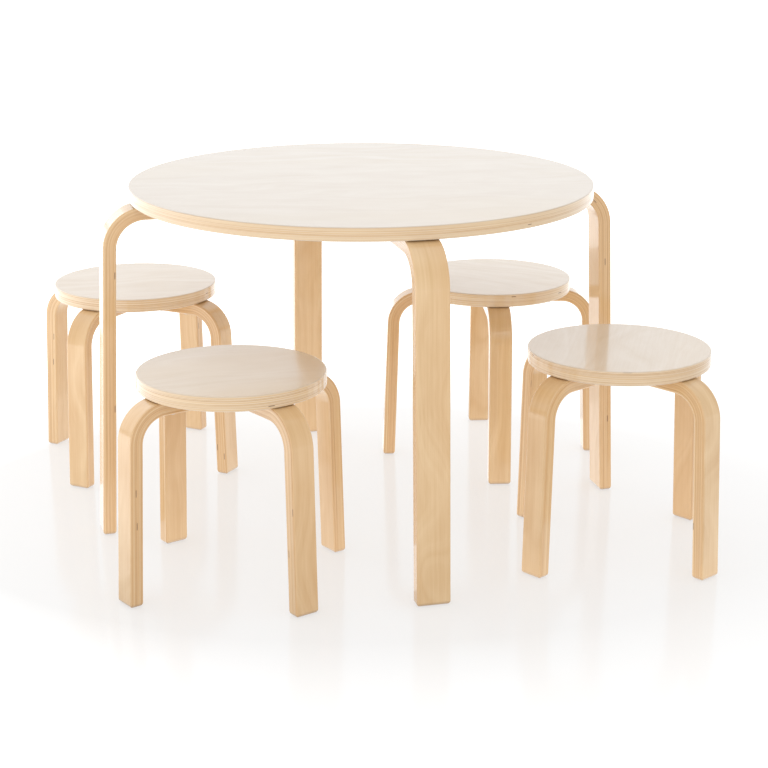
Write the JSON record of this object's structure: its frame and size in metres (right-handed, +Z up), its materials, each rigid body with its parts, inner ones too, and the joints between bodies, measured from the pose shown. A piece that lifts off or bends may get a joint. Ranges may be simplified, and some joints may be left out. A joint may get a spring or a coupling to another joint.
{
  "type": "kids table and stools",
  "caption": "Round children's table on splayed bentwood legs with matching round backless stools around it, in clear-lacquered birch plywood.",
  "frame": {"origin": "on the floor, on the vertical axis of the round table top", "axes": "+Z up; +X to the right and +Y to the back, as seen from the front of the set, so that the front left and front right stools are at -Y and the back stools at +Y"},
  "size_m": [1.0694, 0.9048, 0.523],
  "materials": {
    "table_birch_ply": "satin clear lacquer on birch plywood",
    "seat_birch_ply": "satin clear lacquer on birch plywood",
    "leg_birch_ply": "satin clear lacquer on laminated bent birch",
    "fastener_steel": "zinc-plated",
    "insert_brass": "plain"
  },
  "bodies": {
    "table": {"table_top": "table_birch_ply", "table_leg_1": "leg_birch_ply", "table_leg_2": "leg_birch_ply", "table_leg_3": "leg_birch_ply", "table_leg_4": "leg_birch_ply", "table_inserts": "insert_brass", "table_washers": "fastener_steel", "table_bolts": "fastener_steel"},
    "front_left_stool": {"front_left_stool_seat": "seat_birch_ply", "front_left_stool_leg_1": "leg_birch_ply", "front_left_stool_leg_2": "leg_birch_ply", "front_left_stool_leg_3": "leg_birch_ply", "front_left_stool_leg_4": "leg_birch_ply", "front_left_stool_inserts": "insert_brass", "front_left_stool_washers": "fastener_steel", "front_left_stool_bolts": "fastener_steel"},
    "front_right_stool": {"front_right_stool_seat": "seat_birch_ply", "front_right_stool_leg_1": "leg_birch_ply", "front_right_stool_leg_2": "leg_birch_ply", "front_right_stool_leg_3": "leg_birch_ply", "front_right_stool_leg_4": "leg_birch_ply", "front_right_stool_inserts": "insert_brass", "front_right_stool_washers": "fastener_steel", "front_right_stool_bolts": "fastener_steel"},
    "back_right_stool": {"back_right_stool_seat": "seat_birch_ply", "back_right_stool_leg_1": "leg_birch_ply", "back_right_stool_leg_2": "leg_birch_ply", "back_right_stool_leg_3": "leg_birch_ply", "back_right_stool_leg_4": "leg_birch_ply", "back_right_stool_inserts": "insert_brass", "back_right_stool_washers": "fastener_steel", "back_right_stool_bolts": "fastener_steel"},
    "back_left_stool": {"back_left_stool_seat": "seat_birch_ply", "back_left_stool_leg_1": "leg_birch_ply", "back_left_stool_leg_2": "leg_birch_ply", "back_left_stool_leg_3": "leg_birch_ply", "back_left_stool_leg_4": "leg_birch_ply", "back_left_stool_inserts": "insert_brass", "back_left_stool_washers": "fastener_steel", "back_left_stool_bolts": "fastener_steel"}
  },
  "joints": [
    {"name": "front_left_stool_slide", "type": "slide", "parent": "table", "child": "front_left_stool", "axis": [-0.5314, -0.8471, 0], "range_m": [-0.0309, 0.2641]},
    {"name": "front_right_stool_slide", "type": "slide", "parent": "table", "child": "front_right_stool", "axis": [0.9164, -0.4003, 0], "range_m": [-0.1063, 0.1887]},
    {"name": "back_right_stool_slide", "type": "slide", "parent": "table", "child": "back_right_stool", "axis": [0.6018, 0.7986, 0], "range_m": [-0.0504, 0.2446]},
    {"name": "back_left_stool_slide", "type": "slide", "parent": "table", "child": "back_left_stool", "axis": [-0.8348, 0.5505, 0], "range_m": [-0.1495, 0.1455]}
  ]
}
